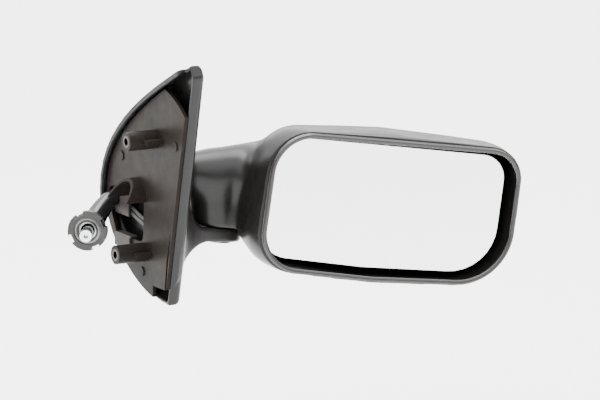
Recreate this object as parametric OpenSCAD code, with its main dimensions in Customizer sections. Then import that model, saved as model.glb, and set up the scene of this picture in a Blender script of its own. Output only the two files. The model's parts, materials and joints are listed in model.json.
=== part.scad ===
// Fold-away door mirror with a cable control, for the right-hand side of a car.
// The frame: +X points outboard, +Y points to the front of the car, +Z points up.
// The origin is the centre of the mouth of the upper fixing boss.

/* [Sail base] */
// Distance from the boss mouths to the inner face of the plate
plate_x = 22; // [20:0.5:24]
// Thickness of the inner plate
plate_t = 2.5; // [2:0.1:3]
// Distance from the boss mouths to the outer edge of the cover's rear wall
cover_x = 31; // [30:0.5:33]
// Wall thickness of the cover
cover_wall = 2.6; // [2.2:0.1:3]
// Height of the dome of the cover beyond its rear wall
cover_dome = 4; // [3:0.5:6]
// Width of the lip that frames the upper front edge of the plate
lip_w = 4.2; // [3:0.1:6]

/* [Fixing bosses] */
// Outside width of a fixing boss
boss_w = 13; // [12:0.5:14]
// Radius of the bore of the M6 inserts
thread_r = 2.6; // [2.5:0.05:2.7]
// Depth of the insert's bore
thread_depth = 14; // [10:1:16]
// Place of the lower boss towards the front
lower_boss_y = 17; // [15:0.5:19]
// Place of the lower boss above the origin
lower_boss_z = -81; // [-84:0.5:-78]

/* [Fold joint] */
// Lean of the fold axis, its top outboard
fold_lean = 7.5; // [6:0.5:9]
// Half width of the foot, and radius of its round end
foot_r = 16; // [15:0.5:17]
// Thickness of the foot
foot_t = 9.5; // [9:0.5:11]
// Radius of the hollow pivot post
post_r = 5.5; // [5.3:0.1:5.6]
// Radius of the hole through the pivot post
post_hole_r = 4; // [3.8:0.1:4.1]
// Height of the pivot post above the foot
post_h = 40; // [39:0.5:41]
// Radius of the hub that turns on the post
hub_r = 8; // [7.8:0.1:8.1]
// Largest fold each way
fold_max = 50; // [40:1:50]

/* [Head] */
// Turn of the head's rim towards the driver
rim_turn = 9.6; // [8:0.1:11]
// Distance of the rim behind the fold axis
rim_back = 52; // [50:0.5:54]
// Depth of the head from its rim to its front
head_depth = 74; // [70:1:78]
// Wall thickness of the head shell
shell_wall = 2; // [2:0.1:3]
// Width of the bezel's face
bezel_w = 3.8; // [3:0.1:5]
// Radius of the vertical neck
neck_r = 18; // [17.8:0.1:18.4]
// Place of the neck's centre outboard of the fold axis
neck_x = 7; // [6.8:0.1:7.2]

/* [Glass] */
// Gap between the bezel and the glass
glass_gap = 3.5; // [3:0.1:4]
// Turn of the glass towards the driver
glass_turn = 13.4; // [12:0.1:15]
// Distance from the glass to its swivel centre
glass_swivel = 13; // [12.5:0.5:14]
// Radius of the swivel pins
swivel_pin_r = 2; // [1.8:0.1:2.2]

/* [Control] */
// Radius of the elbow where it leaves the base
elbow_small_r = 5.6; // [5.4:0.1:6]
// Radius of the elbow at the collar
elbow_large_r = 9; // [8.8:0.1:9.2]
// Wall thickness of the elbow
elbow_wall = 1.5; // [1.3:0.1:1.6]
// Radius of the ring nut
ring_r = 13.5; // [13:0.5:14]
// Thickness of the ring nut
ring_t = 6; // [5:0.5:6]
// Radius of the chrome stub
stub_r = 4.1; // [3.9:0.1:4.2]
// Lean of the stub from the collar's axis at rest
stub_lean = 5; // [0:1:8]

/* [Cables] */
// Radius of a cable sheath
sheath_r = 1.25; // [1.1:0.05:1.3]
// Distance of each sheath from the middle of the bundle
bundle_r = 1.8; // [1.7:0.05:1.9]

/* [Hidden] */
$fn = 48;
SHELL_FN = 32;
FIT = 0.05;
SLIP = 0.3;
HAIR = 0.05;

// Outline of the sail in the Y-Z plane: two Bezier curves along the front, a straight rear edge
SAIL_APEX = [-47, 58];
SAIL_NOSE = [77, -47];
SAIL_TIP = [-14, -113];
SAIL_REAR_TOP = [-51.5, 50];
UPPER_CURVE = [SAIL_APEX, [-9, 38.5], [77, 2.5], SAIL_NOSE];
LOWER_CURVE = [SAIL_NOSE, [79, -75], [35, -112], SAIL_TIP];

INSERT_R = 4.2;
SCREW_PLACES = [[-30, 0], [50, -20], [20, -95]];
SCREW_R = 1.9;
SCREW_HEAD_R = 3.3;
SCREW_HEAD_T = 0.8;
HOOD_PLACE = [28, -46];
HOOD_R = 14.5;
HOOD_WALL = 2;
HOOD_REACH = 17;
HOOD_SLOPE = 35;

// Fold axis: where it crosses the top of the foot
FOLD_FOOT = [74.1, 8, -65.6];
FLARE_STEPS = 7;
CHANNEL_R = 3.6;
STOP_R = 12;
STOP_PIN_R = 1.5;
WASHER_T = 0.95;
CLIP_Z = 36;
CLIP_T = 1.2;
CLIP_IN_R = 4.9;
SPRING_LOW = 15;
SPRING_HIGH = 33.8;
SPRING_TURNS = 5;
SPRING_WIRE = 0.8;

// Head outline in the rim plane: centre and radius of each round stretch, how far it swells
// and shifts towards the middle of the shell's depth, and the same stretch on the front face
RIM_ARCS = [
    [36.5, 44.5, 30], [92, 33.8, 40], [164.8, 49.5, 23.3],
    [147.5, 16.5, 40], [88, 5, 30], [34.5, 6, 29]
];
SWELL_SHARE = [0.6, 1.4, 0.6, 0.2, 0.5, -0.2];
SHIFT_SHARE = [-1.3, 0, 0, 0, 0, -2.5];
FRONT_ARCS = [[90, 37, 8], [92, 34, 10], [98, 37, 8], [98, 22, 8], [92, 24, 10], [84, 22, 8]];
SHELL_STEPS = 12;

// Glass: middle of its face in the fold frame
GLASS_MIDDLE = [95, -47, 25];
GLASS_SWIVEL = GLASS_MIDDLE + glass_swivel * [sin(glass_turn), cos(glass_turn), 0];
GLASS_CENTRE_X = 93.7;
MIRROR_T = 2;
PAD_T = 0.45;
HOLDER_T = 2;
HOLDER_EDGE_T = 1;
HOLDER_RIM = 0.4;
EAR_IN = 6.5;
EAR_OUT = 10.5;
EAR_R = 5;
PIN_REACH = 10.3;
CROSS_HALF = 4.8;

// Head frame: its plate lies in front of the glass swivel
FRAME_Y = 10;
FRAME_T = 3;
FRAME_HALF_H = 15;
FRAME_LOW_X = -88;
FRAME_HIGH_X = 24;
FRAME_SCREWS = [[-72, 2], [-72, -9], [17, 11], [17, -11]];
ANCHOR_X = -46;

// Control: middle line of the elbow, then the direction of the collar at its end
COLLAR_DIR = [-0.568, -0.819, 0.081] / norm([-0.568, -0.819, 0.081]);
ELBOW_END = [-4, 48, -68.5];
ELBOW_LINE = [[25, 64, -51], [14, 64, -53], ELBOW_END - 15.7 * COLLAR_DIR, ELBOW_END];
FLANGE_R = 12;
FLANGE_T = 1.5;
COLLAR_FACE = 9.5;
COLLAR_R = 8.9;
COLLAR_IN_R = 7.5;
STICK_CENTRE = 5.5;
CROSS_RING_R = 6.4;
HUB_BALL_R = 4.2;
TRUNNION_R = 1;
STUB_SPIN = -30;
STUB_REACH = 24;
ELBOW_STEPS = 12;
STOP_BACK = 5.2;

// Cables: middle of the bundle of three sheaths
BASE_ROUTE = [
    [25.4, 63.7, -51.1], [27.9, 61.2, -52.3], [29.1, 56, -54.6], [29.1, 46, -58.5], [29.1, 36, -61.5],
    [29.1, 22, -64.2], [30, 14, -65.1], [34, 9, -65.5]
];
FOOT_ROUTE = [
    [-32, 0, -4.75], [-24, 0, -4.75], [-14, 0, -4.75], [-6.5, 0, -4.65], [-1.2, 0, -1.9], [0, 0, 3], [0, 0, 9],
    [0, 0, 15], [0, 0, 22]
];
HEAD_ROUTE = [
    [0, 0, 22.4], [0, 0, 30], [0, 0, 38], [1, 0, 42.5], [5, 0, 45.2], [11, 0, 45], [19, 0.4, 43],
    [30, 0, 38.5], [40, -1.5, 33], [49, -4.2, 27.5]
];

ANCHOR_END = GLASS_SWIVEL + [
    cos(glass_turn) * (ANCHOR_X - 1) + sin(glass_turn) * (FRAME_Y + FRAME_T + 5),
    cos(glass_turn) * (FRAME_Y + FRAME_T + 5) - sin(glass_turn) * ANCHOR_X,
    0
];

// Functions

function lerp(a, b, t) = a + (b - a) * t;
function unit(v) = v / norm(v);
function bezier(p, t) =
    pow(1 - t, 3) * p[0] + 3 * t * pow(1 - t, 2) * p[1] + 3 * t * t * (1 - t) * p[2] + pow(t, 3) * p[3];
function bezier_ahead(p, t) = unit(
    pow(1 - t, 2) * (p[1] - p[0]) + 2 * t * (1 - t) * (p[2] - p[1]) + t * t * (p[3] - p[2])
);
function sail_points() = concat(
    [SAIL_REAR_TOP],
    [for (i = [0:14]) bezier(UPPER_CURVE, i / 14)],
    [for (i = [1:14]) bezier(LOWER_CURVE, i / 14)]
);

// Share of the way from the rim outline to the front outline at a share t of the head's depth
function closing(t) = 1 - sqrt(1 - pow(t, 2.6));
// Swell of the shell between its rim and its front
function swell(t) = 16 * t * (1 - t);
function shell_arc(i, t, wall) = [
    lerp(RIM_ARCS[i][0], FRONT_ARCS[i][0], closing(t)) + SHIFT_SHARE[i] * swell(t),
    lerp(RIM_ARCS[i][1], FRONT_ARCS[i][1], closing(t)),
    lerp(RIM_ARCS[i][2], FRONT_ARCS[i][2], closing(t)) + SWELL_SHARE[i] * swell(t) - wall
];

// Place in the main frame of a place given in the fold frame
function from_fold(p) = FOLD_FOOT + [
    cos(fold_lean) * p.x + sin(fold_lean) * p.z, p.y, cos(fold_lean) * p.z - sin(fold_lean) * p.x
];

// Smooth route through hand-placed points, and a ring of points around each place on it
function spline_point(p, i, t) =
    let (a = p[max(i - 1, 0)], b = p[i], c = p[i + 1], d = p[min(i + 2, len(p) - 1)])
    0.5 * (2 * b + (c - a) * t + (2 * a - 5 * b + 4 * c - d) * t * t
        + (3 * b - a - 3 * c + d) * t * t * t);
function route(p, steps) = concat(
    [for (i = [0:len(p) - 2], k = [0:steps - 1]) spline_point(p, i, k / steps)],
    [p[len(p) - 1]]
);
function heading(q, i) = unit(q[min(i + 1, len(q) - 1)] - q[max(i - 1, 0)]);
function carried(v, t) = unit(v - (v * t) * t);
// Sideways direction at each place, carried along the route without twist
function sideways(q, i, v) =
    i >= len(q) ? [] : let (w = carried(v, heading(q, i))) concat([w], sideways(q, i + 1, w));
function offset_route(q, side, turn, radius) = [
    for (i = [0:len(q) - 1])
        q[i] + radius * (cos(turn) * side[i] + sin(turn) * cross(heading(q, i), side[i]))
];

// Frames

module along(from, direction) {
    translate(from)
        rotate([0, acos(direction.z / norm(direction)), atan2(direction.y, direction.x)])
            children();
}
module at_fold() {
    translate(FOLD_FOOT) rotate([0, fold_lean, 0]) children();
}
module at_rim() {
    at_fold() translate([0, -rim_back, 0]) rotate([0, 0, -rim_turn]) children();
}
module at_glass() {
    at_fold() translate(GLASS_SWIVEL) rotate([0, 0, -glass_turn]) children();
}
// Collar frame: +Z out of the collar, +X level, and the given distance from the elbow's end
module at_collar(distance) {
    side = unit(cross([0, 0, 1], COLLAR_DIR));
    rise = cross(COLLAR_DIR, side);
    o = ELBOW_END + distance * COLLAR_DIR;
    multmatrix([
        [side.x, rise.x, COLLAR_DIR.x, o.x],
        [side.y, rise.y, COLLAR_DIR.y, o.y],
        [side.z, rise.z, COLLAR_DIR.z, o.z],
        [0, 0, 0, 1]
    ]) children();
}
// Stands a Y-Z outline up in the sail's plane, from x = low to x = high
module slab_x(low, high) {
    translate([low, 0, 0]) rotate([90, 0, 90]) linear_extrude(high - low) children();
}
// Stands an X-Z outline up, from y = low to y = high
module slab_y(low, high) {
    translate([0, high, 0]) rotate([90, 0, 0]) linear_extrude(high - low) children();
}

// Shapes used more than once

module tube(outer, inner, h) {
    difference() {
        cylinder(r = outer, h = h);
        translate([0, 0, -1]) cylinder(r = inner, h = h + 2);
    }
}
// Pin with both ends out of a block, along +Z and -Z
module pin_pair(r, from, to) {
    for (s = [-1, 1]) translate([0, 0, s < 0 ? -to : from]) cylinder(r = r, h = to - from);
}
module sweep(q, r, sides) {
    side = sideways(q, 0, [0.31, 0.17, 0.93]);
    n = len(q);
    points = [
        for (i = [0:n - 1], k = [0:sides - 1])
            let (a = 360 * k / sides)
            q[i] + r * (cos(a) * side[i] + sin(a) * cross(heading(q, i), side[i]))
    ];
    walls = [
        for (i = [0:n - 2], k = [0:sides - 1])
            let (a = i * sides, b = (k + 1) % sides)
            [a + k, a + sides + k, a + sides + b, a + b]
    ];
    first = [for (k = [0:sides - 1]) k];
    last = [for (k = [sides - 1:-1:0]) (n - 1) * sides + k];
    polyhedron(points, concat(walls, [first], [last]));
}
// Three sheaths side by side along one route
module sheath_bundle(p) {
    q = route(p, 3);
    side = sideways(q, 0, [0.31, 0.17, 0.93]);
    for (turn = [0:120:240]) sweep(offset_route(q, side, turn, bundle_r), sheath_r, 8);
}

// Outlines

module sail_outline(inset) {
    offset(delta = -inset) polygon(sail_points());
}
module shell_outline(t, wall) {
    hull() for (i = [0:len(RIM_ARCS) - 1]) {
        c = shell_arc(i, t, wall);
        translate([c[0], c[1]]) circle(c[2], $fn = SHELL_FN);
    }
}
module glass_outline(inset) {
    hull() for (c = RIM_ARCS) {
        translate([c[0] - GLASS_CENTRE_X, c[1] - GLASS_MIDDLE.z])
            circle(c[2] - bezel_w - glass_gap - inset, $fn = SHELL_FN);
    }
}
// Side of the sail that is away from its rear edge and above the opening
module upper_front() {
    difference() {
        translate([-60, -55]) square([160, 140]);
        polygon([[-90, 60], [-42, 60], [0, -130], [-90, -130]]);
    }
}
module lip_outline(inset) {
    intersection() {
        difference() {
            sail_outline(inset);
            sail_outline(lip_w - inset);
        }
        upper_front();
    }
}
module plate_outline() {
    difference() {
        sail_outline(1);
        intersection() {
            difference() {
                sail_outline(-1);
                sail_outline(lip_w + 0.4);
            }
            upper_front();
        }
        difference() {
            translate([-120, -20]) square([140, 100]);
            translate([0, -30]) circle(68, $fn = 96);
        }
        translate([-16, -125]) square([20, 23]);
        polygon([[-22.5, -60], [-18.6, -82], [-15.4, -103], [-13.2, -103], [-16.4, -82]]);
        opening_outline();
    }
}
module opening_outline() {
    hull() {
        translate([62, -51]) circle(8);
        translate([54, -68]) circle(7);
        translate([24, -49]) circle(7);
        translate([24, -69]) circle(6);
    }
}

// Sail base

module sail_block(inset, low) {
    hull() {
        slab_x(low, cover_x - 1.5 - inset) sail_outline(inset);
        slab_x(cover_x - inset, cover_x + cover_dome - inset) sail_outline(inset + 6);
    }
}
module foot_arm() {
    hull() for (x = [-20, 0]) translate([x, 0, -foot_t]) cylinder(r = foot_r, h = foot_t);
}
// One upright slice of the flare where the foot grows out of the cover
module flare_slice(s) {
    half = foot_r + 12 * pow(s, 3);
    rise = 42 * pow(s, 3);
    drop = 28 * s * s;
    translate([-12 - 30 * s, 0, -foot_t - drop]) slab_x(0, 0.5) hull() {
        translate([half - 3, 3]) circle(3, $fn = 24);
        translate([3 - half, 3]) circle(3, $fn = 24);
        translate([half - 1, foot_t + drop + rise - 1]) circle(1, $fn = 24);
        translate([1 - half, foot_t + drop + rise - 1]) circle(1, $fn = 24);
    }
}
module foot_flare() {
    for (i = [0:FLARE_STEPS - 1]) hull() {
        flare_slice(i / FLARE_STEPS);
        flare_slice((i + 1) / FLARE_STEPS);
    }
}
module sail_cover() {
    color([0.13, 0.13, 0.13]) difference() {
        union() {
            sail_block(0, plate_x - 2);
            difference() {
                at_fold() {
                    foot_arm();
                    foot_flare();
                }
                translate([cover_x - 102, -200, -200]) cube([100, 400, 400]);
            }
        }
        difference() {
            sail_block(cover_wall, plate_x + plate_t);
            screw_rods(4, 20);
        }
        screw_rods(SCREW_R + FIT, 8);
        slab_x(plate_x - 10, plate_x + plate_t + 0.1) difference() {
            sail_outline(-1);
            lip_outline(0);
        }
        at_fold() {
            translate([0, 0, -foot_t - 1]) cylinder(r = post_r + FIT, h = foot_t + 2);
            translate([-46, 0, -foot_t / 2]) rotate([0, 90, 0]) {
                cylinder(r = CHANNEL_R, h = 46);
                cylinder(r1 = 12, r2 = CHANNEL_R, h = 14);
            }
            translate([0, 0, HAIR]) cylinder(r = neck_r + SLIP, h = 3);
            translate([STOP_R, 0, -4.1]) cylinder(r = STOP_PIN_R + FIT, h = 5);
        }
    }
}
module screw_rods(r, h) {
    for (p = SCREW_PLACES) translate([plate_x, p.x, p.y]) rotate([0, 90, 0]) cylinder(r = r, h = h);
}
module boss(y, z) {
    translate([0, y, z]) rotate([0, 90, 0]) {
        difference() {
            union() {
                cylinder(d = boss_w, h = plate_x + 1);
                translate([0, 0, plate_x - 12]) linear_extrude(12) square([3, boss_w + 12], center = true);
            }
            translate([0, 0, -1]) cylinder(r = INSERT_R, h = thread_depth + 2);
        }
    }
}
// Half-round rain hood over the opening, its mouth sloped back towards its crown
module rain_hood() {
    translate([plate_x + 1, HOOD_PLACE.x, HOOD_PLACE.y]) rotate([0, -90, 0]) difference() {
        cylinder(r = HOOD_R, h = HOOD_REACH);
        translate([0, 0, -1]) cylinder(r = HOOD_R - HOOD_WALL, h = HOOD_REACH + 2);
        translate([-2 * HOOD_R, -2 * HOOD_R, -1]) cube([2 * HOOD_R, 4 * HOOD_R, HOOD_REACH + 2]);
        translate([-1, -2 * HOOD_R, HOOD_REACH]) rotate([0, HOOD_SLOPE, 0]) cube(4 * HOOD_R);
    }
}
module base_plate() {
    color([0.42, 0.4, 0.38]) {
        difference() {
            slab_x(plate_x, plate_x + plate_t) plate_outline();
            screw_rods(SCREW_R + 0.1, plate_t + 1);
        }
        boss(0, 0);
        boss(lower_boss_y, lower_boss_z);
        rain_hood();
    }
}
module boss_inserts() {
    color([0.7, 0.6, 0.35]) for (p = [[0, 0], [lower_boss_y, lower_boss_z]]) {
        translate([0, p.x, p.y]) rotate([0, 90, 0]) tube(INSERT_R, thread_r, thread_depth);
    }
}
module door_seal() {
    color([0.5, 0.5, 0.5]) slab_x(plate_x - 3.6, plate_x - 2) lip_outline(0.7);
}
module plate_screws() {
    color([0.6, 0.6, 0.62]) {
        screw_rods(SCREW_R, 7.5);
        translate([-SCREW_HEAD_T, 0, 0]) screw_rods(SCREW_HEAD_R, SCREW_HEAD_T);
    }
}
// Sheet that holds the elbow behind the opening, and a clip hooked over the opening's lower edge
module cable_bracket() {
    color([0.75, 0.75, 0.74]) {
        difference() {
            translate([plate_x + plate_t + 0.1, 45, -62]) cube([1.2, 25, 24]);
            along(ELBOW_LINE[0] - [-3, 0, -0.5], [-11, 0, -2]) cylinder(r = elbow_small_r + SLIP, h = 8);
        }
        translate([plate_x - 1.6, 34, -74.6]) cube([plate_t + 2.9, 22, 1.3]);
        translate([plate_x - 1.6, 36, -83]) cube([1.5, 22, 9.5]);
    }
}

// Control

function elbow_radius(t) = lerp(elbow_small_r, elbow_large_r, pow(t, 1.3));
module elbow_disc(t, shrink, grow) {
    ahead = bezier_ahead(ELBOW_LINE, t);
    along(bezier(ELBOW_LINE, t) - grow * ahead, ahead)
        cylinder(r = elbow_radius(t) - shrink, h = 0.1 + 2 * grow, $fn = SHELL_FN);
}
module elbow_solid(shrink, grow) {
    for (i = [0:ELBOW_STEPS - 1]) hull() {
        elbow_disc(i / ELBOW_STEPS, shrink, i == 0 ? grow : 0);
        elbow_disc((i + 1) / ELBOW_STEPS, shrink, i == ELBOW_STEPS - 1 ? grow : 0);
    }
}
module control_elbow() {
    color([0.08, 0.08, 0.08]) difference() {
        elbow_solid(0, 0);
        elbow_solid(elbow_wall, 1);
    }
}
module control_collar() {
    color([0.6, 0.6, 0.6]) at_collar(0.2) difference() {
        union() {
            cylinder(r = FLANGE_R, h = FLANGE_T);
            cylinder(r = COLLAR_R, h = COLLAR_FACE - 1.8);
            cylinder(r = COLLAR_R - 0.5, h = COLLAR_FACE - 0.2);
        }
        translate([0, 0, -1]) cylinder(r = COLLAR_IN_R, h = COLLAR_FACE + 2);
        translate([0, 0, STICK_CENTRE - 0.2]) rotate([90, 0, 0])
            cylinder(r = TRUNNION_R + FIT, h = 40, center = true);
    }
}
module ball_retainer() {
    color([0.1, 0.1, 0.1]) at_collar(COLLAR_FACE - 1) tube(COLLAR_IN_R - 0.02, 6, 0.8);
}
module sheath_stop() {
    color([0.3, 0.3, 0.3]) at_collar(-STOP_BACK) difference() {
        cylinder(r = 6.3, h = 1.5);
        for (a = [0:120:240]) rotate([0, 0, a]) translate([3.2, 0, -1]) cylinder(r = 0.6, h = 4);
    }
}
module base_cables() {
    color([0.25, 0.25, 0.25]) sheath_bundle(concat(
        [for (d = [0.7, 3]) ELBOW_END - (STOP_BACK + d) * COLLAR_DIR],
        [for (t = [0.7, 0.55, 0.35, 0.17]) bezier(ELBOW_LINE, t)],
        BASE_ROUTE,
        [for (p = FOOT_ROUTE) from_fold(p)]
    ));
}
module pivot_post() {
    color([0.6, 0.6, 0.6]) at_fold() difference() {
        translate([0, 0, -foot_t]) cylinder(r = post_r, h = foot_t + post_h);
        translate([0, 0, -foot_t + 1.5]) cylinder(r = post_hole_r, h = foot_t + post_h);
        translate([-10, 0, -foot_t / 2]) rotate([0, 90, 0]) cylinder(r = 3.5, h = 10);
        translate([-10, -3.5, -foot_t / 2]) cube([10, 7, 5.5]);
        translate([0, 0, CLIP_Z]) tube(post_r + 1, CLIP_IN_R, CLIP_T + 0.1);
    }
}
module post_cap() {
    color([0.05, 0.05, 0.05]) at_fold() translate([0, 0, -foot_t - 1.6]) cylinder(r = 9.5, h = 1.6);
}
module thrust_washer() {
    color([0.8, 0.8, 0.75]) at_fold() translate([0, 0, 0.03]) tube(hub_r, post_r + FIT, WASHER_T - 0.03);
}
module stop_pin() {
    color([0.6, 0.6, 0.6]) at_fold() translate([STOP_R, 0, -4]) cylinder(r = STOP_PIN_R, h = 7.5);
}
module ring_nut() {
    color([0.55, 0.55, 0.54]) at_collar(COLLAR_FACE - ring_t) difference() {
        cylinder(r = ring_r, h = ring_t);
        translate([0, 0, -1]) cylinder(r = COLLAR_R + FIT, h = ring_t + 2);
        translate([0, 0, ring_t - 1.6]) cylinder(r = COLLAR_R + 0.4, h = 2);
        for (a = [27:90:360]) rotate([0, 0, a]) {
            translate([ring_r - 2.2, -2.8, -1]) cube([5, 5.6, ring_t + 2]);
        }
    }
}
module stick_cross() {
    color([0.7, 0.7, 0.7]) at_collar(STICK_CENTRE) difference() {
        union() {
            translate([0, 0, -1.5]) cylinder(r = CROSS_RING_R, h = 3);
            rotate([90, 0, 0]) pin_pair(TRUNNION_R, CROSS_RING_R - 1, COLLAR_R - 0.4);
        }
        translate([0, 0, -3]) cylinder(r = 5, h = 6);
        rotate([0, 90, 0]) cylinder(r = TRUNNION_R + FIT, h = 20, center = true);
    }
}
module at_stick() {
    at_collar(STICK_CENTRE) rotate([0, 0, STUB_SPIN]) rotate([0, stub_lean, 0]) children();
}
module stick_hub() {
    color([0.25, 0.25, 0.25]) {
        at_stick() {
            sphere(r = HUB_BALL_R);
            cylinder(r = 2, h = 10);
            translate([0, 0, -6]) cylinder(r = 1.6, h = 6);
            translate([0, 0, -6.5]) cylinder(r = 4.4, h = 1.4);
        }
        at_collar(STICK_CENTRE) rotate([0, 90, 0]) pin_pair(TRUNNION_R, 3, CROSS_RING_R - 0.3);
    }
}
module stick_stub() {
    color([0.85, 0.85, 0.87]) at_stick() difference() {
        translate([0, 0, HUB_BALL_R + 0.05]) cylinder(r = stub_r, h = STUB_REACH - HUB_BALL_R);
        translate([0, 0, 1]) cylinder(r = 2 + FIT, h = 9.1);
        translate([0, 0, STUB_REACH - 6]) cylinder(r = 1.8, h = 10);
    }
}

// Head

module shell_layer(k, wall, low) {
    depth = head_depth - wall;
    y = k == 0 ? low : min(k / SHELL_STEPS * depth, depth - HAIR);
    slab_y(y, y + HAIR) shell_outline(k / SHELL_STEPS, wall);
}
module shell_solid(wall, low) {
    for (k = [0:SHELL_STEPS - 1]) hull() {
        shell_layer(k, wall, low);
        shell_layer(k + 1, wall, low);
    }
}
module neck_solid(wall) {
    hull() {
        for (x = [0, neck_x]) translate([x, 0, 0.5 + wall]) cylinder(r = neck_r - wall, h = 10);
        translate([neck_x, 0, 32]) sphere(r = 20 - wall);
        translate([-22, 0, 35]) sphere(r = 14.5 - wall);
        translate([44, -6, 40]) sphere(r = 24 - wall);
    }
}
// Space that the foot sweeps as the head folds
module foot_sweep(grow) {
    for (a = [-fold_max:10:fold_max]) rotate([0, 0, a]) {
        translate([-60, -foot_r - SLIP - grow, -30]) cube([60, 2 * (foot_r + SLIP + grow), 30.5 + grow]);
    }
    translate([0, 0, -30]) cylinder(r = foot_r + SLIP + grow, h = 30.5 + grow);
}
module screw_posts(r, from) {
    for (p = FRAME_SCREWS) at_glass() {
        translate([p.x, from, p.y]) rotate([-90, 0, 0]) cylinder(r = r, h = 60);
    }
}
module head_shell() {
    color([0.12, 0.12, 0.12]) difference() {
        union() {
            at_rim() shell_solid(0, 3.5);
            at_fold() neck_solid(0);
        }
        difference() {
            union() {
                at_rim() shell_solid(shell_wall, -5);
                at_fold() neck_solid(shell_wall);
            }
            at_fold() foot_sweep(shell_wall);
            screw_posts(3.4, FRAME_Y + FRAME_T + 0.1);
        }
        at_fold() {
            foot_sweep(0);
            cylinder(r = hub_r + SLIP, h = 10);
            stop_slot();
        }
        intersection() {
            screw_posts(1.35, FRAME_Y);
            at_glass() translate([-120, 0, -60]) cube([240, FRAME_Y + 16, 120]);
        }
    }
}
// Arc that the stop pin runs in
module stop_slot() {
    half = fold_max + 9;
    rotate([0, 0, -half]) rotate_extrude(angle = 2 * half) translate([STOP_R - 2, 0]) square([4, 8]);
}
module bezel() {
    color([0.3, 0.3, 0.3]) at_rim() slab_y(0, 3.1) difference() {
        shell_outline(0, 0.3);
        shell_outline(0, bezel_w);
    }
}
module head_frame() {
    base = WASHER_T + 0.1;
    color([0.55, 0.55, 0.56]) difference() {
        union() {
            at_fold() {
                translate([0, 0, base]) cylinder(r = hub_r, h = 14 - base);
                translate([0, -7, 3.8]) cube([19, 10, 9.5]);
            }
            at_glass() {
                translate([FRAME_LOW_X, FRAME_Y, -FRAME_HALF_H])
                    cube([FRAME_HIGH_X - FRAME_LOW_X, FRAME_T, 2 * FRAME_HALF_H]);
                translate([FRAME_LOW_X, FRAME_Y, -21]) cube([7.5, FRAME_T, 10]);
                for (z = [EAR_IN, -EAR_OUT]) translate([0, 0, z]) {
                    cylinder(r = EAR_R, h = EAR_OUT - EAR_IN);
                    translate([-EAR_R, 0, 0]) cube([2 * EAR_R, FRAME_Y + 1, EAR_OUT - EAR_IN]);
                }
            }
        }
        at_fold() translate([0, 0, -1]) cylinder(r = post_r + FIT, h = 30);
        at_glass() {
            cylinder(r = swivel_pin_r + FIT, h = 40, center = true);
            for (p = FRAME_SCREWS) translate([p.x, 0, p.y]) rotate([-90, 0, 0]) cylinder(r = 1.4, h = 30);
        }
    }
}
module fold_spring() {
    rings = SPRING_TURNS * 12;
    q = [
        for (i = [0:rings])
            let (a = 360 * i / 12, z = lerp(SPRING_LOW, SPRING_HIGH, i / rings))
            [6.9 * cos(a), 6.9 * sin(a), z]
    ];
    color([0.6, 0.6, 0.6]) at_fold() sweep(q, SPRING_WIRE, 6);
}
module spring_washer() {
    color([0.65, 0.65, 0.65]) at_fold() translate([0, 0, CLIP_Z - 1.3]) tube(hub_r, post_r + FIT, 1.25);
}
module post_circlip() {
    color([0.4, 0.4, 0.42]) at_fold() translate([0, 0, CLIP_Z + 0.05]) difference() {
        tube(7.2, CLIP_IN_R + 0.03, CLIP_T);
        translate([0, -2, -1]) cube([12, 4, 4]);
    }
}
module frame_screws() {
    color([0.6, 0.6, 0.62]) for (p = FRAME_SCREWS) at_glass() {
        translate([p.x, FRAME_Y - 2.2, p.y]) rotate([-90, 0, 0]) {
            cylinder(r = 3, h = 2.2);
            cylinder(r = 1.3, h = 13);
        }
    }
}
module cable_anchor() {
    color([0.2, 0.2, 0.2]) at_glass() {
        translate([ANCHOR_X, FRAME_Y + FRAME_T, -5]) cube([5, 11, 10]);
    }
}
module head_cables() {
    color([0.25, 0.25, 0.25]) at_fold() sheath_bundle(concat(HEAD_ROUTE, [ANCHOR_END]));
}
module glass_cross() {
    color([0.75, 0.75, 0.72]) at_glass() {
        cube(2 * CROSS_HALF, center = true);
        pin_pair(swivel_pin_r, CROSS_HALF - 1, PIN_REACH);
        rotate([0, 90, 0]) pin_pair(swivel_pin_r, CROSS_HALF - 1, PIN_REACH);
    }
}
module glass_holder() {
    back = -glass_swivel + MIRROR_T + PAD_T + 0.04;
    color([0.1, 0.1, 0.1]) at_glass() difference() {
        union() {
            slab_y(back, back + HOLDER_EDGE_T) glass_outline(-HOLDER_RIM);
            slab_y(back, back + HOLDER_T) glass_outline(3);
            slab_y(-glass_swivel + 0.5, back + 0.5) difference() {
                glass_outline(-HOLDER_RIM);
                glass_outline(-0.05);
            }
            for (x = [EAR_IN, -EAR_OUT]) translate([x, 0, 0]) rotate([0, 90, 0]) {
                cylinder(r = EAR_R, h = EAR_OUT - EAR_IN);
                translate([-EAR_R, back + 1, 0]) cube([2 * EAR_R, -back - 1, EAR_OUT - EAR_IN]);
            }
        }
        rotate([0, 90, 0]) cylinder(r = swivel_pin_r + FIT, h = 40, center = true);
    }
}
module glass_pad() {
    color([0.2, 0.2, 0.2]) at_glass() {
        slab_y(-glass_swivel + MIRROR_T + 0.02, -glass_swivel + MIRROR_T + PAD_T) glass_outline(1);
    }
}
module mirror_glass() {
    color([0.8, 0.85, 0.9]) at_glass() slab_y(-glass_swivel, -glass_swivel + MIRROR_T) glass_outline(0);
}
module cable_nipples() {
    back = -glass_swivel + MIRROR_T + PAD_T + 0.04 + HOLDER_T;
    color([0.7, 0.6, 0.35]) for (p = [[-28, 0], [22, 19], [22, -19]]) at_glass() {
        translate([p.x, back, p.y]) rotate([-90, 0, 0]) cylinder(r = 2.4, h = 4);
    }
}

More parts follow.
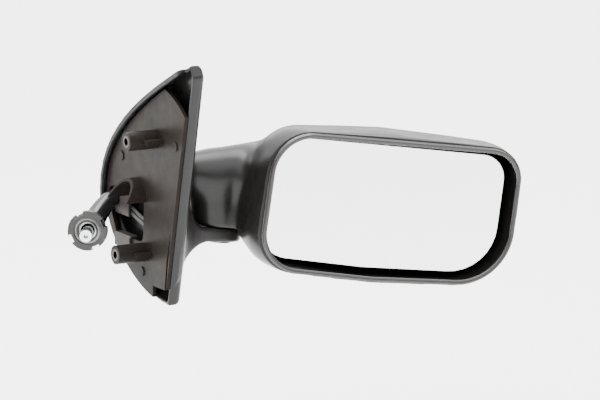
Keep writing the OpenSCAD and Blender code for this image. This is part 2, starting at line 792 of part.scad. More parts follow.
sail_cover();
base_plate();
boss_inserts();
door_seal();
plate_screws();
cable_bracket();
control_elbow();
control_collar();
ball_retainer();
sheath_stop();
base_cables();
pivot_post();
post_cap();
thrust_washer();
stop_pin();
ring_nut();
stick_cross();
stick_hub();
stick_stub();
head_shell();
bezel();
head_frame();
fold_spring();
spring_washer();
post_circlip();
frame_screws();
cable_anchor();
head_cables();
glass_cross();
glass_holder();
glass_pad();
mirror_glass();
cable_nipples();
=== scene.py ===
"""Looks of a fold-away door mirror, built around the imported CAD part: +X outboard, +Y forward, +Z up.

Lengths are millimetres up to the meshes, and metres on the stage.
"""
import json
import math

import bpy
import numpy as np
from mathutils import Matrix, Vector

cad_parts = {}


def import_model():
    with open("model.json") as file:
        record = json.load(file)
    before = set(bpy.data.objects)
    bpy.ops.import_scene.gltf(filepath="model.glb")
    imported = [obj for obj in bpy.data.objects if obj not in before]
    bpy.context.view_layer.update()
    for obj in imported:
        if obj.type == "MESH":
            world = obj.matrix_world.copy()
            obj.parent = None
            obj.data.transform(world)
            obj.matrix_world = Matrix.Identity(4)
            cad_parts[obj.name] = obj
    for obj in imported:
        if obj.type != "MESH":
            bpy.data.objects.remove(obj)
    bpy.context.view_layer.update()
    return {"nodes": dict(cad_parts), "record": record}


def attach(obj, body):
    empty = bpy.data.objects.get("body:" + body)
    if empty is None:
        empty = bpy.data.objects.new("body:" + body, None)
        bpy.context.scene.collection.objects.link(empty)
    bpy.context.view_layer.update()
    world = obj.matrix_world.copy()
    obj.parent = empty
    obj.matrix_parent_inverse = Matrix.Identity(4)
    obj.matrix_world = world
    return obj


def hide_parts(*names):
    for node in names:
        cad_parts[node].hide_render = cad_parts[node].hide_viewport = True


MM = 0.001

# Fold frame: its origin is where the fold axis leaves the foot, its z axis is the fold axis
FOLD_FOOT = np.array([74.1, 8.0, -65.6])
FOLD_LEAN = math.radians(7.5)
FOLD_MAX = math.radians(50.0)
FOOT_RADIUS = 16.0
FOOT_THICK = 9.5
NECK_RADIUS = 18.0
CLEARANCE = 0.3
NECK_START = 0.5
NECK_REACH = 90.0
NECK_BLEND_OUT = 12.0
NECK_BLEND_IN = 9.0
# Each part of the neck is the hull of two balls: their middles, then their radii
NECK_INBOARD = ((0, 0, -8), (-9, 0, 31), 17.8, 17.5)
NECK_OUTBOARD = ((7, 0, -8), (7, 0, 31), 17.9, 18.0)
NECK_ARCH = ((-22, 0, 35), (44, -6, 40), 14.5, 23.5)
HUB_RADIUS = 8.3
HUB_TOP = 10.0
PIN_CIRCLE = 12.0
SLOT_HALF_WIDTH = 2.0
SLOT_TOP = 8.0
SLOT_HALF_TURN = math.radians(59.0)

# Foot, also in the fold frame
FLARE_START = -12.0
FLARE_LENGTH = 30.0
FLARE_WIDER = 12.0
FLARE_HIGHER = 42.0
FLARE_LOWER = 28.0
FOOT_EDGE = 1.6
POST_BORE_RADIUS = 5.56
POST_BORE_HALF = 20.0
CHANNEL_RADIUS = 3.6
CHANNEL_HALF = 23.0
CHANNEL_MOUTH = -32.0
CHANNEL_MOUTH_LENGTH = 14.0
CHANNEL_MOUTH_SLOPE = 0.6
NECK_GAP_MIDDLE = 1.55
NECK_GAP_HALF = 1.5
PIN_HOLE_RADIUS = 1.55
PIN_HOLE_HALF = 4.1

# Rim frame: its y axis runs into the head
RIM_BACK = 52.0
RIM_TURN = math.radians(9.6)
HEAD_DEPTH = 74.0
SHELL_EDGE = 3.12
SHELL_WALL = 2.0
EDGE_THICKENING = 1.3
EDGE_THICK_END = 7.0
EDGE_THICK_TAPER = 3.0
BEZEL_WIDTH = 3.8
RIM_ARCS = np.array([[36.5, 44.5, 30], [92, 33.8, 40], [164.8, 49.5, 23.3],
                     [147.5, 16.5, 40], [88, 5, 30], [34.5, 6, 29]], float)
SWELL_SHARE = np.array([0.6, 1.4, 0.6, 0.2, 0.5, -0.2])
SHIFT_SHARE = np.array([-1.3, 0, 0, 0, 0, -2.5])
FRONT_ARCS = np.array([[90, 37, 8], [92, 34, 10], [98, 37, 8], [98, 22, 8], [92, 24, 10], [84, 22, 8]], float)

# Glass frame: its origin is the glass's swivel, ahead of the middle of the glass, and its y axis runs forward
GLASS_TURN = math.radians(13.4)
GLASS_MIDDLE = np.array([95.0, -47.0, 25.0])
GLASS_SWIVEL = 13.0
FRAME_SCREWS = [(-72, 2), (-72, -9), (17, 11), (17, -11)]
FRAME_BACK = 13.1
FRAME_POST_RADIUS = 3.4
FRAME_BORE_RADIUS = 1.5
FRAME_BORE_MIDDLE = 16.0
FRAME_BORE_HALF = 6.0

# Sail base: outline in the Y-Z plane
SAIL_REAR_TOP = (-51.5, 50.0)
UPPER_CURVE = [(-47, 58), (-9, 38.5), (77, 2.5), (77, -47)]
LOWER_CURVE = [(77, -47), (79, -75), (35, -112), (-14, -113)]
COVER_FACE = 20.0
PLATE_BACK = 24.6
COVER_X = 31.0
COVER_DOME = 4.0
COVER_WALL = 2.6
DOME_START = 1.5
DOME_LEAN = 6.0
LIP_WIDTH = 4.2
LIP_REAR_POINT = (-42.0, 60.0)
LIP_REAR_NORMAL = (0.975, 0.2205)
LIP_BOTTOM = -55.0
SCREW_PLACES = [(-30, 0), (50, -20), (20, -95)]
COVER_POST_RADIUS = 4.0
COVER_ROD_RADIUS = 1.95
COVER_ROD_END = 30.0

# Control's tube
ELBOW_LINE = [(25, 64, -51), (14, 64, -53), (4.92, 60.86, -69.77), (-4, 48, -68.5)]
ELBOW_NARROW = 5.55
ELBOW_WIDE = 9.0
ELBOW_FLARE = 1.3
ELBOW_WALL = 1.5
ELBOW_RINGS = 60
ELBOW_SIDES = 40

# Meshes
FINE_STEP = 0.8
RIM_POINTS = 320
EDGE_ROUNDING = 0.25


def rot_y(a):
    return np.array([[math.cos(a), 0, math.sin(a)], [0, 1, 0], [-math.sin(a), 0, math.cos(a)]])


def rot_z(a):
    return np.array([[math.cos(a), -math.sin(a), 0], [math.sin(a), math.cos(a), 0], [0, 0, 1]])


FOLD_TURN = rot_y(FOLD_LEAN)


def fold_to_row(p):
    return np.asarray(p) @ FOLD_TURN.T + FOLD_FOOT


def row_to_fold(p):
    return (np.asarray(p) - FOLD_FOOT) @ FOLD_TURN


def rim_to_fold(p):
    return np.asarray(p) @ rot_z(-RIM_TURN).T + np.array([0, -RIM_BACK, 0])


def rim_to_row(p):
    return fold_to_row(rim_to_fold(p))


def fold_to_glass(p):
    middle = GLASS_MIDDLE + GLASS_SWIVEL * np.array([math.sin(GLASS_TURN), math.cos(GLASS_TURN), 0])
    return (np.asarray(p) - middle) @ rot_z(-GLASS_TURN)


def bezier(points, t):
    p = np.array(points, float)
    t = np.atleast_1d(t)[:, None]
    return (1 - t) ** 3 * p[0] + 3 * t * (1 - t) ** 2 * p[1] + 3 * t * t * (1 - t) * p[2] + t ** 3 * p[3]


# Distance fields

def smooth_min(a, b, width):
    """Lower of two distances, blended where they are within a width of each other."""
    h = np.clip(0.5 + 0.5 * (b - a) / width, 0, 1)
    return b * (1 - h) + a * h - width * h * (1 - h)


def smooth_max(a, b, width):
    return -smooth_min(-a, -b, width)


def round_cone(p, a, b, ra, rb):
    """Distance to the hull of two balls."""
    a, b = np.array(a, float), np.array(b, float)
    ba = b - a
    l2 = ba @ ba
    rr = ra - rb
    a2 = l2 - rr * rr
    pa = p - a
    y = pa @ ba
    z = y - l2
    x2 = ((pa * l2 - y[..., None] * ba) ** 2).sum(-1)
    y2 = y * y * l2
    z2 = z * z * l2
    k = np.sign(rr) * rr * rr * x2
    side = (np.sqrt(x2 * a2 / l2) + y * rr) / l2 - ra
    past = np.sqrt(x2 + z2) / l2 - rb
    before = np.sqrt(x2 + y2) / l2 - ra
    return np.where(np.sign(z) * a2 * z2 > k, past, np.where(np.sign(y) * a2 * y2 < k, before, side))


def outline_arcs(t, wall=0.0):
    closing = 1 - math.sqrt(max(0.0, 1 - t ** 2.6))
    arcs = RIM_ARCS + (FRONT_ARCS - RIM_ARCS) * closing
    swell = 16 * t * (1 - t)
    arcs[:, 0] += SHIFT_SHARE * swell
    arcs[:, 2] += SWELL_SHARE * swell - wall
    return arcs


TURNS = np.linspace(0, 2 * math.pi, 360, endpoint=False)
TURN_X = np.cos(TURNS)
TURN_Z = np.sin(TURNS)


def shell_slice(x, z, t, wall):
    """Distance in one slice of the head, from the outline's support function."""
    arcs = outline_arcs(t, wall)
    reach = (arcs[:, :1] * TURN_X + arcs[:, 1:2] * TURN_Z + arcs[:, 2:]).max(0)
    p = np.stack([x.ravel(), z.ravel()], 1).astype(np.float32)
    n = np.stack([TURN_X, TURN_Z]).astype(np.float32)
    return (p @ n - reach.astype(np.float32)).max(1).reshape(x.shape)


def shell_field(xs, ys, zs, wall):
    depth = HEAD_DEPTH - wall
    x, z = np.meshgrid(xs, zs, indexing="ij")
    field = np.empty((len(xs), len(ys), len(zs)), np.float32)
    for j, y in enumerate(ys):
        t = min(max(y / depth, 0.0), 0.995)
        field[:, j, :] = np.maximum(shell_slice(x, z, t, wall), y - depth)
    return field


def neck_part(p, part, wall):
    a, b, ra, rb = part
    return round_cone(p, a, b, ra - wall, rb - wall)


def neck_field(p, wall):
    upright = smooth_min(neck_part(p, NECK_INBOARD, wall), neck_part(p, NECK_OUTBOARD, wall), 2.0)
    neck = smooth_min(upright, neck_part(p, NECK_ARCH, wall), 8.0)
    return np.maximum(neck, NECK_START + wall - p[..., 2])


def swept_foot(p):
    """Distance to the space that the foot sweeps as the head folds, seen along the axis."""
    rho = np.hypot(p[..., 0], p[..., 1])
    turn = np.abs(np.arctan2(p[..., 1], -p[..., 0]))
    off = np.clip(turn - FOLD_MAX, 0, math.pi / 2)
    return rho * np.sin(off) - (FOOT_RADIUS + CLEARANCE)


CELL_CORNERS = [(i, j, k) for i in (0, 1) for j in (0, 1) for k in (0, 1)]


def crossing_points(field, where):
    """Mean place, in cells, at which the field changes sign along the edges of each cell."""
    x, y, z = where.T
    values = np.stack([field[x + i, y + j, z + k] for i, j, k in CELL_CORNERS], 1)
    total = np.zeros((len(where), 3))
    hits = np.zeros(len(where))
    for a in range(8):
        for b in range(a + 1, 8):
            ca, cb = np.array(CELL_CORNERS[a]), np.array(CELL_CORNERS[b])
            if np.abs(ca - cb).sum() != 1:
                continue
            va, vb = values[:, a], values[:, b]
            crosses = (va < 0) != (vb < 0)
            t = np.where(crosses, va / np.where(crosses, va - vb, 1), 0)[:, None]
            total += np.where(crosses[:, None], ca + (cb - ca) * t, 0)
            hits += crosses
    return where + total / hits[:, None]


def crossing_quads(inside, index):
    """A quad of cell points round each edge of the grid that the surface crosses."""
    quads = []
    for axis in range(3):
        o1, o2 = [a for a in range(3) if a != axis]
        lo = [slice(1, -1)] * 3
        lo[axis] = slice(0, inside.shape[axis] - 1)
        hi = list(lo)
        hi[axis] = slice(1, inside.shape[axis])
        a, b = inside[tuple(lo)], inside[tuple(hi)]
        for sign in (True, False):
            e = np.argwhere((a != b) & (a == sign))
            e[:, o1] += 1
            e[:, o2] += 1
            ring = []
            for d1, d2 in ((-1, -1), (0, -1), (0, 0), (-1, 0)):
                c = e.copy()
                c[:, o1] += d1
                c[:, o2] += d2
                ring.append(index[c[:, 0], c[:, 1], c[:, 2]])
            q = np.stack(ring, 1)
            flip = sign if axis != 1 else not sign
            quads.append(q if flip else q[:, ::-1])
    return np.concatenate(quads)


def surface(field, origin, step):
    """Surface nets: a quad mesh of where the field is zero."""
    inside = field < 0
    nx, ny, nz = field.shape
    cells = [inside[i:nx - 1 + i, j:ny - 1 + j, k:nz - 1 + k] for i, j, k in CELL_CORNERS]
    count = np.sum(cells, axis=0)
    active = (count > 0) & (count < 8)
    index = np.full(active.shape, -1, np.int64)
    where = np.argwhere(active)
    index[active] = np.arange(len(where))
    return crossing_points(field, where) * step + origin, crossing_quads(inside, index)


def relax(points, quads, rounds, weight, hold=None):
    """Moves every point towards the middle of its neighbours."""
    edges = np.concatenate([quads[:, [0, 1]], quads[:, [1, 2]], quads[:, [2, 3]], quads[:, [3, 0]]])
    edges = np.concatenate([edges, edges[:, ::-1]])
    start, end = edges[:, 0], edges[:, 1]
    degree = np.bincount(start, minlength=len(points))[:, None]
    share = weight if hold is None else weight * (1 - hold)[:, None]
    for _ in range(rounds):
        middle = np.stack([np.bincount(start, points[end, k], len(points)) for k in range(3)], 1)
        points = points + share * (middle / degree - points)
    return points


def mesh_object(name, points, faces):
    mesh = bpy.data.meshes.new(name)
    places = [tuple(p) for p in np.asarray(points) * MM]
    mesh.from_pydata(places, [], [tuple(int(i) for i in f) for f in faces])
    mesh.validate()
    mesh.update()
    obj = bpy.data.objects.new(name, mesh)
    bpy.context.scene.collection.objects.link(obj)
    mesh.polygons.foreach_set("use_smooth", [True] * len(mesh.polygons))
    return obj


# Head

def shell_and_neck(xs, ys, zs, p):
    """Distances to the outside and to the hollow of the shell and its neck."""
    outer = shell_field(xs, ys, zs, 0.0)
    inner = shell_field(xs, ys, zs, SHELL_WALL)
    inner += (EDGE_THICKENING * np.clip((EDGE_THICK_END - ys) / EDGE_THICK_TAPER, 0, 1))[None, :, None]
    near = p[..., 0] < NECK_REACH
    neck_out = np.full(outer.shape, 99.0, np.float32)
    neck_in = np.full(outer.shape, 99.0, np.float32)
    neck_out[near] = neck_field(p[near], 0.0)
    neck_in[near] = neck_field(p[near], SHELL_WALL)
    return smooth_min(outer, neck_out, NECK_BLEND_OUT), smooth_min(inner, neck_in, NECK_BLEND_IN)


def with_frame_posts(outer, inner, p):
    """Keeps a post in the hollow for each screw of the head's frame, and bores it."""
    g = fold_to_glass(p)
    for sx, sz in FRAME_SCREWS:
        off = np.hypot(g[..., 0] - sx, g[..., 2] - sz)
        post = np.maximum(off - FRAME_POST_RADIUS, FRAME_BACK - g[..., 1])
        inner = np.maximum(inner, -post)
        hole = np.maximum(off - FRAME_BORE_RADIUS, np.abs(g[..., 1] - FRAME_BORE_MIDDLE) - FRAME_BORE_HALF)
        outer = np.maximum(outer, -hole)
    return outer, inner


def fold_cuts(p, sweep):
    """Spaces in the head for the foot, the hub and the stop pin."""
    z = p[..., 2]
    rho = np.hypot(p[..., 0], p[..., 1])
    hub = np.maximum(rho - HUB_RADIUS, z - HUB_TOP)
    slot = np.maximum(np.abs(rho - PIN_CIRCLE) - SLOT_HALF_WIDTH, z - SLOT_TOP)
    slot = np.maximum(slot, (np.abs(np.arctan2(p[..., 1], p[..., 0])) - SLOT_HALF_TURN) * rho)
    return np.maximum(sweep, z - NECK_START), hub, slot


def head_shell(step):
    low = np.array([-52.0, 0.0, -38.0])
    high = np.array([196.0, 78.0, 86.0])
    xs, ys, zs = [np.arange(a, b, step) for a, b in zip(low, high)]
    p = rim_to_fold(np.stack(np.meshgrid(xs, ys, zs, indexing="ij"), -1))
    outer, inner = shell_and_neck(xs, ys, zs, p)
    sweep = swept_foot(p)
    thick = np.maximum(sweep - SHELL_WALL, p[..., 2] - NECK_START - SHELL_WALL)
    inner = np.maximum(inner, -thick)
    outer, inner = with_frame_posts(outer, inner, p)
    field = np.maximum(outer, -inner)
    for cut in fold_cuts(p, sweep):
        field = np.maximum(field, -cut)
    field = np.maximum(field, SHELL_EDGE - ys[None, :, None])
    points, quads = surface(field, low, step)
    hold = np.clip(1 - (points[:, 1] - SHELL_EDGE - 0.6) / 1.5, 0, 1)
    points = relax(points, quads, 10, 0.5, hold)
    return mesh_object("head_housing", rim_to_row(points), quads)


def outline_points(inset):
    """Points evenly along the rim's outline, moved inwards by the inset."""
    arcs = outline_arcs(0.0)
    turns = np.linspace(0, 2 * math.pi, 2880, endpoint=False)
    n = np.stack([np.cos(turns), np.sin(turns)], 1)
    active = (arcs[:, 0] * n[:, :1] + arcs[:, 1] * n[:, 1:] + arcs[:, 2]).argmax(1)
    raw = arcs[active, :2] + (arcs[active, 2] - inset)[:, None] * n
    closed = np.concatenate([raw, raw[:1]])
    along = np.concatenate([[0], np.cumsum(np.hypot(*np.diff(closed, axis=0).T))])
    want = np.linspace(0, along[-1], RIM_POINTS, endpoint=False)
    return np.stack([np.interp(want, along, closed[:, k]) for k in (0, 1)], 1)


def loop_faces(loops, sides, flip=False):
    """Quads between each closed loop of points and the next, and from the last back to the first."""
    faces = []
    for i in range(loops):
        a, b = i * sides, ((i + 1) % loops) * sides
        for k in range(sides):
            j = (k + 1) % sides
            faces.append((a + k, b + k, b + j, a + j) if flip else (a + k, a + j, b + j, b + k))
    return faces


def swept_ring(name, profile):
    """Closed ring swept round the rim: the profile is a loop of (inset, depth) places."""
    loops = []
    for inset, depth in profile:
        p = outline_points(inset)
        loops.append(np.stack([p[:, 0], np.full(len(p), depth), p[:, 1]], 1))
    return mesh_object(name, rim_to_row(np.concatenate(loops)), loop_faces(len(loops), RIM_POINTS))


def bezel():
    w = BEZEL_WIDTH
    profile = [(0.35, 3.1), (0.3, 2.2), (0.85, 2.0), (0.85, 1.0), (0.95, 0.5), (1.25, 0.15), (1.75, 0.0),
               (w - 1.0, 0.12), (w - 0.45, 0.35), (w - 0.1, 0.8), (w, 1.4), (w, 3.1)]
    return swept_ring("rim_bezel", profile)


# Sail base

def sail_polygon():
    t = np.linspace(0, 1, 40)
    return np.concatenate([[SAIL_REAR_TOP], bezier(UPPER_CURVE, t), bezier(LOWER_CURVE, t[1:])])


def polygon_distance(y, z, poly):
    shape = y.shape
    p = np.stack([y.ravel(), z.ravel()], 1)
    best = np.full(len(p), 1e9)
    inside = np.zeros(len(p), bool)
    for a, b in zip(poly, np.roll(poly, -1, axis=0)):
        e = b - a
        w = p - a
        h = np.clip((w @ e) / (e @ e), 0, 1)
        best = np.minimum(best, ((w - h[:, None] * e) ** 2).sum(1))
        crosses = (a[1] > p[:, 1]) != (b[1] > p[:, 1])
        if abs(b[1] - a[1]) > 1e-9:
            inside ^= crosses & (p[:, 0] < (b[0] - a[0]) * (p[:, 1] - a[1]) / (b[1] - a[1]) + a[0])
    d = np.sqrt(best)
    return np.where(inside, -d, d).reshape(shape)


def sail_block(x, flat, inset):
    """The cover's block: straight walls, then a dome that closes in towards its top."""
    start = COVER_X - DOME_START - inset
    top = COVER_X + COVER_DOME - inset
    s = np.clip((x - start) / (top - start), 0, 1)
    lean = DOME_LEAN * (1 - np.sqrt(1 - 0.98 * s ** 2.2))
    return smooth_max(flat + inset + lean, x - top, 1.5)


def foot_field(p):
    """The foot's arm, which flares where it grows out of the cover."""
    x = p[..., 0]
    s = np.clip((FLARE_START - x) / FLARE_LENGTH, 0, 1.05)
    half = FOOT_RADIUS + FLARE_WIDER * s ** 3
    top = FLARE_HIGHER * s ** 3
    bottom = -FOOT_THICK - FLARE_LOWER * s * s
    plan = np.where(x > 0, np.hypot(x, p[..., 1]), np.abs(p[..., 1])) - half
    upright = np.abs(p[..., 2] - (top + bottom) / 2) - (top - bottom) / 2
    qx, qz = plan + FOOT_EDGE, upright + FOOT_EDGE
    return np.hypot(np.maximum(qx, 0), np.maximum(qz, 0)) + np.minimum(np.maximum(qx, qz), 0) - FOOT_EDGE


def upper_front(y, z):
    """Negative where the lip is proud of the plate: above the opening and away from the rear edge."""
    y0, z0 = LIP_REAR_POINT
    ny, nz = LIP_REAR_NORMAL
    rear = -(y - y0) * ny - (z - z0) * nz
    return np.maximum(rear, LIP_BOTTOM - z)


def cover_hollow(x, y, z, flat):
    """Space inside the cover, with a bored post for each of the plate's screws."""
    hollow = sail_block(x, flat[None], COVER_WALL)
    for sy, sz in SCREW_PLACES:
        off = np.hypot(y - sy, z - sz)[None]
        hollow = np.maximum(hollow, COVER_POST_RADIUS - off)
        rod = np.maximum(off - COVER_ROD_RADIUS, x - COVER_ROD_END)
        hollow = np.minimum(hollow, rod)
    return hollow


def foot_cuts(p):
    """Spaces in the foot for the pivot post, the cables, the neck and the stop pin."""
    rho = np.hypot(p[..., 0], p[..., 1])
    bore = np.maximum(rho - POST_BORE_RADIUS, np.abs(p[..., 2]) - POST_BORE_HALF)
    beside = np.hypot(p[..., 1], p[..., 2] + FOOT_THICK / 2)
    mouth = np.clip(CHANNEL_MOUTH - p[..., 0], 0, CHANNEL_MOUTH_LENGTH) * CHANNEL_MOUTH_SLOPE
    channel = np.maximum(beside - CHANNEL_RADIUS - mouth, np.abs(p[..., 0] + CHANNEL_HALF) - CHANNEL_HALF)
    neck = np.maximum(rho - NECK_RADIUS - CLEARANCE, np.abs(p[..., 2] - NECK_GAP_MIDDLE) - NECK_GAP_HALF)
    pin = np.hypot(p[..., 0] - PIN_CIRCLE, p[..., 1]) - PIN_HOLE_RADIUS
    return bore, channel, neck, np.maximum(pin, np.abs(p[..., 2]) - PIN_HOLE_HALF)


def sail_cover(step):
    low = np.array([COVER_FACE - 2, -54.0, -116.0])
    high = np.array([94.0, 80.0, 61.0])
    xs, ys, zs = [np.arange(a, b, step) for a, b in zip(low, high)]
    y, z = np.meshgrid(ys, zs, indexing="ij")
    flat = polygon_distance(y, z, sail_polygon())
    x = xs[:, None, None]
    p = row_to_fold(np.stack(np.meshgrid(xs, ys, zs, indexing="ij"), -1))
    foot = np.maximum(foot_field(p), COVER_X - 2 - x)
    field = smooth_min(sail_block(x, flat[None], 0.0), foot, 4.0)
    field = np.maximum(field, COVER_FACE - x)
    lip = np.maximum(np.maximum(flat, -(flat + LIP_WIDTH)), upper_front(y, z))
    rebate = np.maximum(-lip[None], x - PLATE_BACK)
    for cut in (cover_hollow(x, y, z, flat), rebate, *foot_cuts(p)):
        field = np.maximum(field, -cut)
    points, quads = surface(field, low, step)
    points = relax(points, quads, 4, 0.5)
    return mesh_object("sail_housing", points, quads)


# Control

def elbow():
    """Bent tube, narrow where it leaves the base and wide at the collar."""
    t = np.linspace(0, 1, ELBOW_RINGS)
    line = bezier(ELBOW_LINE, t)
    ahead = np.gradient(line, axis=0)
    ahead /= np.linalg.norm(ahead, axis=1)[:, None]
    radius = ELBOW_NARROW + (ELBOW_WIDE - ELBOW_NARROW) * t ** ELBOW_FLARE
    turns = np.linspace(0, 2 * math.pi, ELBOW_SIDES, endpoint=False)[:, None]
    side = np.array([0.31, 0.17, 0.93])
    outside, inside = [], []
    for i in range(ELBOW_RINGS):
        side = side - (side @ ahead[i]) * ahead[i]
        side /= np.linalg.norm(side)
        other = np.cross(ahead[i], side)
        around = np.cos(turns) * side + np.sin(turns) * other
        outside.append(line[i] + radius[i] * around)
        inside.append(line[i] + (radius[i] - ELBOW_WALL) * around)
    loops = outside + inside[::-1]
    return mesh_object("control_tube", np.concatenate(loops), loop_faces(len(loops), ELBOW_SIDES, flip=True))


# Materials

def noise(tree, coords, scale, detail, distortion=0.0):
    n = tree.nodes.new("ShaderNodeTexNoise")
    n.inputs["Scale"].default_value = scale
    n.inputs["Detail"].default_value = detail
    n.inputs["Distortion"].default_value = distortion
    tree.links.new(coords.outputs["Object"], n.inputs["Vector"])
    return n.outputs["Fac"]


def ramp(tree, source, low, high, a, b):
    r = tree.nodes.new("ShaderNodeMapRange")
    r.inputs["From Min"].default_value = low
    r.inputs["From Max"].default_value = high
    r.inputs["To Min"].default_value = a
    r.inputs["To Max"].default_value = b
    tree.links.new(source, r.inputs["Value"])
    return r.outputs["Result"]


def material(name, color, rough, metallic=0.0, grain=900.0, grain_bump=0.0, mottling=0.15, wear=0.0,
             wear_color=None, ior=1.5):
    """Surface with fine grain, slow mottling of tone and gloss, and optional scuffs."""
    mat = bpy.data.materials.new(name)
    mat.use_nodes = True
    tree = mat.node_tree
    nodes, links = tree.nodes, tree.links
    shader = nodes["Principled BSDF"]
    coords = nodes.new("ShaderNodeTexCoord")
    slow = noise(tree, coords, scale=38.0, detail=4.0)
    mix = nodes.new("ShaderNodeMix")
    mix.data_type = "RGBA"
    dark = [c * (1 - mottling) for c in color]
    light = [min(1.0, c * (1 + mottling)) for c in color]
    mix.inputs["A"].default_value = (*dark, 1)
    mix.inputs["B"].default_value = (*light, 1)
    links.new(ramp(tree, slow, 0.3, 0.7, 0, 1), mix.inputs["Factor"])
    tone = mix.outputs["Result"]
    sheen = noise(tree, coords, scale=95.0, detail=5.0)
    gloss = ramp(tree, sheen, 0.3, 0.7, max(0.02, rough * 0.88), min(1.0, rough * 1.12))
    if wear > 0:
        scuff = nodes.new("ShaderNodeMix")
        scuff.data_type = "RGBA"
        scuff.inputs["B"].default_value = (*(wear_color or light), 1)
        links.new(tone, scuff.inputs["A"])
        patches = noise(tree, coords, scale=160.0, detail=8.0, distortion=1.2)
        links.new(ramp(tree, patches, 0.56, 0.74, 0, wear), scuff.inputs["Factor"])
        tone = scuff.outputs["Result"]
    links.new(tone, shader.inputs["Base Color"])
    links.new(gloss, shader.inputs["Roughness"])
    shader.inputs["Metallic"].default_value = metallic
    shader.inputs["IOR"].default_value = ior
    if grain_bump > 0:
        bump = nodes.new("ShaderNodeBump")
        bump.inputs["Strength"].default_value = grain_bump
        bump.inputs["Distance"].default_value = 0.0002
        links.new(noise(tree, coords, scale=grain, detail=3.0), bump.inputs["Height"])
        links.new(bump.outputs["Normal"], shader.inputs["Normal"])
    return mat


MATERIALS = {
    "black_grained": dict(color=(0.0065, 0.006, 0.0058), rough=0.33, grain=2600, grain_bump=0.035, wear=0.08,
                          wear_color=(0.014, 0.0133, 0.0133), ior=1.34),
    "plate_black": dict(color=(0.011, 0.0089, 0.0075), rough=0.4, grain=600, grain_bump=0.1, wear=0.4,
                        wear_color=(0.024, 0.0204, 0.0177), ior=1.13),
    "brass": dict(color=(0.04, 0.036, 0.03), rough=0.35, metallic=1.0, grain=900, grain_bump=0.1),
    "seal": dict(color=(0.012, 0.012, 0.012), rough=0.8, grain=1800, grain_bump=0.5),
    "zinc": dict(color=(0.2, 0.2, 0.195), rough=0.3, metallic=1.0, grain=700, grain_bump=0.15),
    "black_smooth": dict(color=(0.008, 0.008, 0.0085), rough=0.2, grain=800, grain_bump=0.08),
    "sheath": dict(color=(0.05, 0.05, 0.05), rough=0.42, grain=900, grain_bump=0.2),
    "bracket_grey": dict(color=(0.035, 0.031, 0.028), rough=0.45, grain=900, grain_bump=0.2, wear=0.3,
                         ior=1.2),
    "dark_steel": dict(color=(0.011, 0.0089, 0.0075), rough=0.4, grain=900, grain_bump=0.1, ior=1.13),
    "steel": dict(color=(0.5, 0.5, 0.5), rough=0.25, metallic=1.0, grain=900, grain_bump=0.1),
    "ring_grey": dict(color=(0.02, 0.02, 0.0195), rough=0.3, grain=1100, grain_bump=0.2, wear=0.5,
                      wear_color=(0.1, 0.1, 0.097)),
    "chrome": dict(color=(0.86, 0.87, 0.88), rough=0.1, metallic=1.0, grain=600, grain_bump=0.05),
    "bezel_grey": dict(color=(0.017, 0.016, 0.0155), rough=0.25, grain=1500, grain_bump=0.08, wear=0.1),
    "cast_zinc": dict(color=(0.2, 0.2, 0.21), rough=0.5, metallic=0.6, grain=500, grain_bump=0.3),
    "mirror": dict(color=(0.97, 0.975, 0.98), rough=0.03, metallic=1.0, mottling=0.01, grain_bump=0.0),
}


def paint(obj, look):
    obj.data.materials.clear()
    obj.data.materials.append(look)


def soften_edges(obj):
    """Small rounding on the edges of a machined or moulded piece."""
    bevel = obj.modifiers.new("edge_round", "BEVEL")
    bevel.width = EDGE_ROUNDING * MM
    bevel.segments = 2
    bevel.limit_method = "ANGLE"
    bevel.angle_limit = math.radians(35.0)
    bevel.harden_normals = False


# Stage, in metres

FLOOR_Z = -0.24
FLOOR_HALF = 14.0
SKY_LOW = 0.25
SKY_HIGH = 5.2
CAMERA_TURN = math.radians(-28.0)
CAMERA_RISE = math.radians(11.5)
CAMERA_AWAY = 6.0
VIEW_WIDTH = 0.4044
AIM_RIGHT = 0.1173
AIM_DOWN = 0.0391

# Name, place, point it is aimed at, size and power of each light
LIGHTS = [
    ("overhead", (0.1, 0.2, 1.4), (0.1, 0, -0.03), (1.2, 0.9), 42.0),
    ("left", (-1.5, 0.1, 0.5), (0.0, 0, -0.03), (0.3, 1.2), 14.0),
    ("behind", (1.5, 2.6, 0.8), (0.1, 0, -0.03), (2.6, 0.9), 30.0),
    ("edge", (-1.7, 2.2, 0.9), (0.0, 0, -0.03), (1.2, 1.2), 16.0),
]


def stage_floor():
    a = FLOOR_HALF
    mesh = bpy.data.meshes.new("floor")
    mesh.from_pydata([(-a, -a, 0), (a, -a, 0), (a, a, 0), (-a, a, 0)], [], [(0, 1, 2, 3)])
    floor = bpy.data.objects.new("floor", mesh)
    floor.location.z = FLOOR_Z
    bpy.context.scene.collection.objects.link(floor)
    mat = bpy.data.materials.new("floor")
    mat.use_nodes = True
    shader = mat.node_tree.nodes["Principled BSDF"]
    shader.inputs["Base Color"].default_value = (0.93, 0.93, 0.93, 1)
    shader.inputs["Roughness"].default_value = 0.9
    mesh.materials.append(mat)


def view_axes():
    a, e = CAMERA_TURN, CAMERA_RISE
    right = Vector((math.cos(a), math.sin(a), 0))
    back = Vector((math.sin(a) * math.cos(e), -math.cos(a) * math.cos(e), math.sin(e)))
    return right, back.cross(right), back


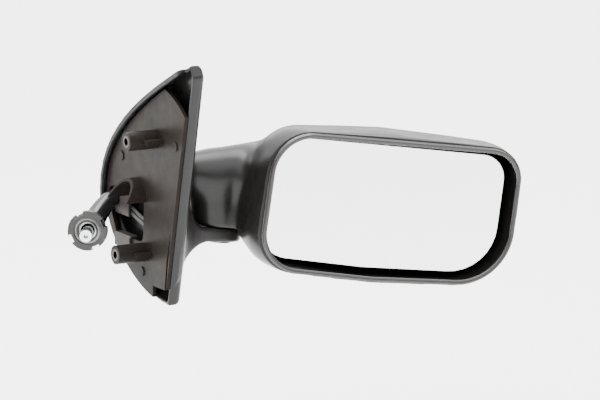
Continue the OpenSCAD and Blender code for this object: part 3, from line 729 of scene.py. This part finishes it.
def camera():
    right, up, back = view_axes()
    aim = AIM_RIGHT * right - AIM_DOWN * up
    data = bpy.data.cameras.new("camera")
    data.sensor_width = 36.0
    data.lens = data.sensor_width * CAMERA_AWAY / VIEW_WIDTH
    data.clip_end = 60.0
    cam = bpy.data.objects.new("camera", data)
    cam.location = aim + CAMERA_AWAY * back
    cam.rotation_euler = (-back).to_track_quat("-Z", "Y").to_euler()
    bpy.context.scene.collection.objects.link(cam)
    bpy.context.scene.camera = cam


def area_light(name, place, aim, size, power):
    data = bpy.data.lights.new(name, "AREA")
    data.shape = "RECTANGLE"
    data.size, data.size_y = size
    data.energy = power
    light = bpy.data.objects.new(name, data)
    light.location = place
    light.rotation_euler = (Vector(aim) - Vector(place)).to_track_quat("-Z", "Y").to_euler()
    bpy.context.scene.collection.objects.link(light)


def studio():
    world = bpy.data.worlds.new("studio")
    bpy.context.scene.world = world
    world.use_nodes = True
    nodes, links = world.node_tree.nodes, world.node_tree.links
    shade = nodes["Background"]
    shade.inputs["Color"].default_value = (1, 1, 1, 1)
    coords = nodes.new("ShaderNodeTexCoord")
    split = nodes.new("ShaderNodeSeparateXYZ")
    sky = nodes.new("ShaderNodeMapRange")
    sky.interpolation_type = "SMOOTHSTEP"
    sky.inputs["From Min"].default_value = 0.05
    sky.inputs["From Max"].default_value = 0.75
    sky.inputs["To Min"].default_value = SKY_LOW
    sky.inputs["To Max"].default_value = SKY_HIGH
    links.new(coords.outputs["Generated"], split.inputs["Vector"])
    links.new(split.outputs["Z"], sky.inputs["Value"])
    links.new(sky.outputs["Result"], shade.inputs["Strength"])
    for light in LIGHTS:
        area_light(*light)


def main():
    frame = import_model()
    slots = {s["node"]: s["material_slot"] for s in frame["record"]["subparts"]}
    made = {name: material(name, **look) for name, look in MATERIALS.items()}
    step = FINE_STEP
    shaped = {
        "head_shell": ("head", head_shell(step)),
        "sail_cover": ("base", sail_cover(step)),
        "bezel": ("head", bezel()),
        "control_elbow": ("base", elbow()),
    }
    for node, (body, obj) in shaped.items():
        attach(obj, body)
        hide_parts(node)
        paint(obj, made[slots[node]])
    for name, obj in frame["nodes"].items():
        if name in shaped:
            continue
        paint(obj, made[slots[name]])
        if "cables" in name or name == "fold_spring":
            obj.data.polygons.foreach_set("use_smooth", [True] * len(obj.data.polygons))
        else:
            soften_edges(obj)
    stage_floor()
    studio()
    camera()


main()
